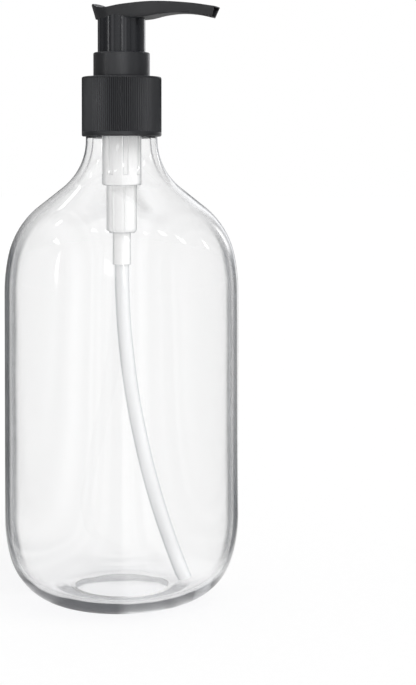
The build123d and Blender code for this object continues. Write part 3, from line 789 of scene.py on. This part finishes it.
# ---------------------------------------------------------------- finishes of the CAD pieces
class DISPENSER_OT_finishes(bpy.types.Operator):
    """Make the shared finishes and give them to the inner pieces"""

    bl_idname = "dispenser.finishes"
    bl_label = "Finishes"

    def execute(self, context):
        colours = context.scene.dispenser_colours
        black = list(colours.black)
        lighter = scaled(black, 1.15)
        # black polypropylene from a fine spark-eroded mould: a soft sheen, no mirror
        moulded_plastic("Polypropylene_satin_black", black, lighter, 0.36, 0.25, 0.010, ior=1.6)
        # the same plastic from a polished part of the mould: narrow, bright highlights
        moulded_plastic("Polypropylene_gloss_black", black, lighter, 0.14, 0.4, 0.003)
        # the walls that a long core pin leaves get a near-black, dull plastic as painted shade, so the channel reads
        # as a black hole
        moulded_plastic("Polypropylene_black_painted_channel_shade", linear("#08080a"), linear("#0b0b0d"), 0.6, 0.4, 0.01)
        # white polypropylene: a waxy gloss, and painted shade that greys it where it turns away
        white = list(colours.white)
        moulded_plastic("Polypropylene_moulded_white", white, scaled(white, 0.97), 0.32, 0.5, 0.006,
                        edge=linear("#8e9194"))
        # polyethylene with no pigment: off-white and a little duller than the polypropylene
        natural = linear("#e6e6df")
        moulded_plastic("Polyethylene_natural", natural, scaled(natural, 0.93), 0.38, 0.5, 0.006)
        # foamed polyethylene: matt and uneven, because its cut cells scatter the light
        foam = linear("#dcdcd6")
        moulded_plastic("PE_foam_gasket", foam, scaled(foam, 0.9), 0.8, 0.6, 0.05)
        # spring steel drawn through a die: a soft, bright line along each turn
        drawn_metal("Stainless_spring_wire", linear("#b9b8b4"), 0.25, 0.3)
        # a ground and polished ball: a small, nearly sharp image of the room
        drawn_metal("Stainless_polished_ball", linear("#cfcfcd"), 0.08, 0.8)
        given = {
            "Polypropylene_gloss_black": ("upper_stem",),
            "Polypropylene_moulded_white": ("lower_stem", "ball_cage", "stem_guide"),
            "Polyethylene_natural": ("piston",),
            "PE_foam_gasket": ("neck_gasket",),
            "Stainless_polished_ball": ("outlet_ball", "inlet_ball"),
        }
        for name, nodes in given.items():
            for cad_node in nodes:
                piece = bpy.data.objects[cad_node]
                for slot in piece.material_slots:
                    slot.material = bpy.data.materials[name]
        return {"FINISHED"}


# ---------------------------------------------------------------- studio
# the camera's bearing round the bottle, from -Y towards +X
AZIMUTH = radians(20.0)


def mirrored(tree):
    """1 for a ray that gloss throws back, and 0 for any other, such as one that passes through the bottle."""
    path = node(tree, "ShaderNodeLightPath")
    return node(tree, "ShaderNodeMath", {"operation": "SUBTRACT", "use_clamp": True},
                {0: (path, "Is Glossy Ray"), 1: (path, "Is Transmission Ray")})


# how bright the room looks in gloss: where nothing lights it, in front, in its corner, and up or down
ROOM_DIM, ROOM_FRONT, ROOM_CORNER, ROOM_STEEP = 0.14, 0.70, 0.75, 0.60


def room_level(tree, direction, output):
    """How bright the room looks in gloss: bright before the bottle, above and behind its right side."""
    front = node(tree, "ShaderNodeVectorMath",
                 {"operation": "DOT_PRODUCT", 1: (sin(AZIMUTH), -cos(AZIMUTH), 0.0)},
                 {0: (direction, output)})
    lit_front = node(tree, "ShaderNodeMapRange",
                     {"From Min": 0.1, "From Max": 0.95, "To Min": ROOM_DIM, "To Max": ROOM_FRONT,
                      "interpolation_type": "SMOOTHSTEP"},
                     {"Value": (front, "Value")})
    right = node(tree, "ShaderNodeVectorMath",
                 {"operation": "DOT_PRODUCT", 1: (cos(AZIMUTH), sin(AZIMUTH), 0.0)},
                 {0: (direction, output)})
    lit_right = node(tree, "ShaderNodeMapRange",
                     {"From Min": 0.05, "From Max": 0.35, "To Min": ROOM_DIM, "To Max": ROOM_CORNER,
                      "interpolation_type": "SMOOTHSTEP"},
                     {"Value": (right, "Value")})
    lit_behind = node(tree, "ShaderNodeMapRange",
                      {"From Min": -0.5, "From Max": -0.85, "To Min": ROOM_DIM, "To Max": ROOM_CORNER},
                      {"Value": (front, "Value")})
    corner = node(tree, "ShaderNodeMath", {"operation": "MINIMUM"},
                  {0: (lit_right, "Result"), 1: (lit_behind, "Result")})
    split = node(tree, "ShaderNodeSeparateXYZ", None, {"Vector": (direction, output)})
    steep = node(tree, "ShaderNodeMath", {"operation": "ABSOLUTE"}, {0: (split, "Z")})
    lit_steep = node(tree, "ShaderNodeMapRange",
                     {"From Min": 0.45, "From Max": 0.95, "To Min": ROOM_DIM, "To Max": ROOM_STEEP},
                     {"Value": (steep, "Value")})
    around = node(tree, "ShaderNodeMath", {"operation": "MAXIMUM"},
                  {0: (lit_front, "Result"), 1: (corner, "Value")})
    level = node(tree, "ShaderNodeMath", {"operation": "MAXIMUM"},
                 {0: (around, "Value"), 1: (lit_steep, "Result")})
    # upright bands, as windows and walls leave in a glossy side
    bands = node(tree, "ShaderNodeTexNoise", {"noise_dimensions": "1D", "Scale": 5.0, "Detail": 2.0},
                 {"W": (right, "Value")})
    banded = node(tree, "ShaderNodeMapRange",
                  {"From Min": 0.42, "From Max": 0.62, "To Min": 0.5, "To Max": 2.2},
                  {"Value": (bands, "Fac")})
    return node(tree, "ShaderNodeMath", {"operation": "MULTIPLY"},
                {0: (level, "Value"), 1: (banded, "Result")})


def fade_edges(light):
    """Let a lamp fade to nothing from its middle to its edges, as a diffuser does."""
    light.use_nodes = True
    tree = light.node_tree
    tree.nodes.clear()
    # the sum of the two numbers and the second one alone each run from 0 to 1 across the lamp's face
    face = node(tree, "ShaderNodeNewGeometry")
    split = node(tree, "ShaderNodeSeparateXYZ", None, {"Vector": (face, "Parametric")})
    both = node(tree, "ShaderNodeMath", {"operation": "ADD"}, {0: (split, "X"), 1: (split, "Y")})
    spot = node(tree, "ShaderNodeCombineXYZ", None, {"X": (both, "Value"), "Y": (split, "Y")})
    away = node(tree, "ShaderNodeVectorMath", {"operation": "DISTANCE", 1: (0.5, 0.5, 0.0)},
                {0: (spot, "Vector")})
    fade = node(tree, "ShaderNodeMapRange",
                {"From Min": 0.05, "From Max": 0.5, "To Min": 1.0, "To Max": 0.0,
                 "interpolation_type": "SMOOTHERSTEP"},
                {"Value": (away, "Value")})
    glow = node(tree, "ShaderNodeEmission", None, {"Strength": (fade, "Result")})
    node(tree, "ShaderNodeOutputLight", None, {"Surface": (glow, "Emission")})


class DISPENSER_OT_studio(bpy.types.Operator):
    """Set up the pale floor, the soft light and the camera"""

    bl_idname = "dispenser.studio"
    bl_label = "Studio"

    def execute(self, context):
        scene = context.scene
        material, tree, output = new_material("Studio_paper_matt")
        place = node(tree, "ShaderNodeTexCoord")
        fibre = node(tree, "ShaderNodeTexNoise", {"Scale": 400.0, "Detail": 2.0},
                     {"Vector": (place, "Object")})
        tone = node(tree, "ShaderNodeMapRange", {"To Min": 0.985, "To Max": 1.0}, {"Value": (fibre, "Fac")})
        # in gloss the paper's colour is painted with the room's light and its bands, so it falls off as the room does
        # and no edge shows where they meet; its direction is the one from this height on the bottle's axis, about
        # level with the camera
        centre_height = 0.12
        from_bottle = node(tree, "ShaderNodeVectorMath", {"operation": "ADD", 1: (0.0, 0.0, -centre_height)},
                           {0: (place, "Object")})
        outward = node(tree, "ShaderNodeVectorMath", {"operation": "NORMALIZE"}, {0: (from_bottle, "Vector")})
        floor_level = room_level(tree, outward, "Vector")
        seen = node(tree, "ShaderNodeMix", {MIX_FLOAT_A: 1.0},
                    {"Factor": (mirrored(tree), "Value"), MIX_FLOAT_B: (floor_level, "Value")})
        shown = node(tree, "ShaderNodeMath", {"operation": "MULTIPLY"},
                     {0: (tone, "Result"), 1: (seen, "Result")})
        shader = node(tree, "ShaderNodeBsdfPrincipled", {"Roughness": 1.0, "Specular IOR Level": 0.0},
                      {"Base Color": (shown, "Value")})
        tree.links.new(shader.outputs["BSDF"], output.inputs["Surface"])
        floor_half = 6.0
        bm = bmesh.new()
        bmesh.ops.create_grid(bm, x_segments=1, y_segments=1, size=floor_half)
        mesh = bpy.data.meshes.new("studio_floor")
        bm.to_mesh(mesh)
        bm.free()
        mesh.materials.append(material)
        floor = bpy.data.objects.new("studio_floor", mesh)
        scene.collection.objects.link(floor)

        # a white room for everything but gloss, which sees a dimmer one between the softboxes
        world = bpy.data.worlds.new("Studio_white")
        world.use_nodes = True
        tree = world.node_tree
        tree.nodes.clear()
        path = node(tree, "ShaderNodeLightPath")
        white = node(tree, "ShaderNodeBackground", {"Color": (1.0, 1.0, 1.0, 1.0), "Strength": 1.0})
        fill = node(tree, "ShaderNodeBackground", {"Color": (1.0, 1.0, 1.0, 1.0), "Strength": 0.66})
        room = room_level(tree, node(tree, "ShaderNodeTexCoord"), "Generated")
        dim = node(tree, "ShaderNodeBackground", {"Color": (0.96, 0.97, 1.0, 1.0)},
                   {"Strength": (room, "Value")})
        lit = node(tree, "ShaderNodeMixShader", None,
                   {0: (path, "Is Diffuse Ray"), 1: (white, "Background"), 2: (fill, "Background")})
        mix = node(tree, "ShaderNodeMixShader", None,
                   {0: (mirrored(tree), "Value"), 1: (lit, "Shader"), 2: (dim, "Background")})
        node(tree, "ShaderNodeOutputWorld", None, {"Surface": (mix, "Shader")})
        world.cycles.sampling_method = "NONE"
        scene.world = world
        scene.view_settings.view_transform = "Standard"

        def placed(bearing, reach, height):
            """A place in metres, from its bearing off the camera's side, its reach and its height."""
            turned = AZIMUTH + radians(bearing)
            return Vector((sin(turned) * reach, -cos(turned) * reach, height))

        aim = Vector((0, 0, 0.1))

        def softbox(name, bearing, reach, height, width, tall, radiance):
            """An area light that faces the bottle and shows only in gloss."""
            light = bpy.data.lights.new(name, "AREA")
            light.shape = "RECTANGLE"
            light.size, light.size_y = width, tall
            light.energy = radiance * pi * width * tall
            fade_edges(light)
            lamp = bpy.data.objects.new(name, light)
            lamp.location = placed(bearing, reach, height)
            lamp.rotation_euler = (aim - lamp.location).to_track_quat("-Z", "Y").to_euler()
            lamp.visible_diffuse = False
            lamp.visible_transmission = False
            scene.collection.objects.link(lamp)

        softbox("strip_left", -64, 0.8, 0.34, 0.12, 0.56, 7.0)
        softbox("strip_front", 3, 0.9, 0.36, 0.06, 0.56, 9.0)
        softbox("panel_front", -6, 1.1, 0.46, 0.44, 0.50, 3.6)
        softbox("strip_behind", 152, 0.8, 0.30, 0.30, 0.50, 2.6)
        softbox("glint_a", -75, 0.50, 0.45, 0.16, 0.09, 12.0)
        softbox("glint_b", -38, 0.42, 0.80, 0.18, 0.10, 10.0)
        softbox("glint_c", 10, 0.46, 0.66, 0.09, 0.17, 12.0)
        softbox("glint_d", 42, 0.50, 0.85, 0.15, 0.10, 10.0)
        softbox("glint_e", 78, 0.50, 0.50, 0.09, 0.20, 12.0)
        softbox("glint_f", 150, 0.50, 0.75, 0.15, 0.11, 9.0)
        softbox("glint_g", -140, 0.50, 0.62, 0.10, 0.16, 9.0)
        softbox("glint_h", -20, 0.36, 0.72, 0.08, 0.07, 14.0)
        softbox("glint_i", 62, 0.38, 0.58, 0.08, 0.16, 14.0)
        softbox("glint_j", 104, 0.52, 0.34, 0.07, 0.16, 12.0)
        softbox("glint_k", -104, 0.42, 0.56, 0.08, 0.12, 12.0)
        softbox("glint_l", 176, 0.52, 0.52, 0.14, 0.08, 12.0)
        # a broad, soft key gives the pump its light and dark side
        sun = bpy.data.lights.new("key", "SUN")
        sun.energy = 1.56
        sun.angle = radians(45.0)
        key = bpy.data.objects.new("key", sun)
        key.rotation_euler = placed(48, 1.0, 1.0).to_track_quat("Z", "Y").to_euler()
        key.visible_glossy = False
        key.visible_transmission = False
        scene.collection.objects.link(key)

        # the camera stands a little above the bottle's middle and looks almost level
        distance, eye_height = 0.470, 0.121
        pitch, pan = radians(1.32), radians(2.93198)
        # a shift lens, so the camera looks almost level and the upright sides stay nearly parallel
        shift = 0.2
        camera = bpy.data.cameras.new("camera")
        camera.sensor_width = 36.0
        camera.lens = 88.50219
        camera.shift_y = -shift
        camera.clip_start, camera.clip_end = 0.01, 50.0
        eye = bpy.data.objects.new("camera", camera)
        eye.location = (sin(AZIMUTH) * distance, -cos(AZIMUTH) * distance, eye_height)
        heading = Vector((-sin(AZIMUTH - pan), cos(AZIMUTH - pan), -tan(pitch)))
        eye.rotation_euler = heading.to_track_quat("-Z", "Y").to_euler()
        scene.collection.objects.link(eye)
        scene.camera = eye
        return {"FINISHED"}


# ---------------------------------------------------------------- add-on
class DISPENSER_PT_panel(bpy.types.Panel):
    """Lists the steps that build the dispenser"""

    bl_label = "Soap pump dispenser"
    bl_idname = "DISPENSER_PT_panel"
    bl_space_type = "VIEW_3D"
    bl_region_type = "UI"
    bl_category = "Dispenser"

    def draw(self, context):
        for operator in OPERATORS:
            self.layout.operator(operator.bl_idname)


OPERATORS = (
    DISPENSER_OT_finishes,
    DISPENSER_OT_studio,
    DISPENSER_OT_bottle,
    DISPENSER_OT_closure,
    DISPENSER_OT_head,
    DISPENSER_OT_housing,
)
CLASSES = (DISPENSER_PG_sizes, DISPENSER_PG_colours) + OPERATORS + (DISPENSER_PT_panel,)


def register():
    for cls in CLASSES:
        bpy.utils.register_class(cls)
    bpy.types.Scene.dispenser_sizes = bpy.props.PointerProperty(type=DISPENSER_PG_sizes)
    bpy.types.Scene.dispenser_colours = bpy.props.PointerProperty(type=DISPENSER_PG_colours)


def unregister():
    del bpy.types.Scene.dispenser_colours
    del bpy.types.Scene.dispenser_sizes
    for cls in reversed(CLASSES):
        bpy.utils.unregister_class(cls)


def main():
    register()
    bpy.ops.dispenser.finishes()
    bpy.ops.dispenser.studio()
    bpy.ops.dispenser.bottle()
    bpy.ops.dispenser.closure()
    bpy.ops.dispenser.head()
    bpy.ops.dispenser.housing()


if __name__ == "__main__":
    main()
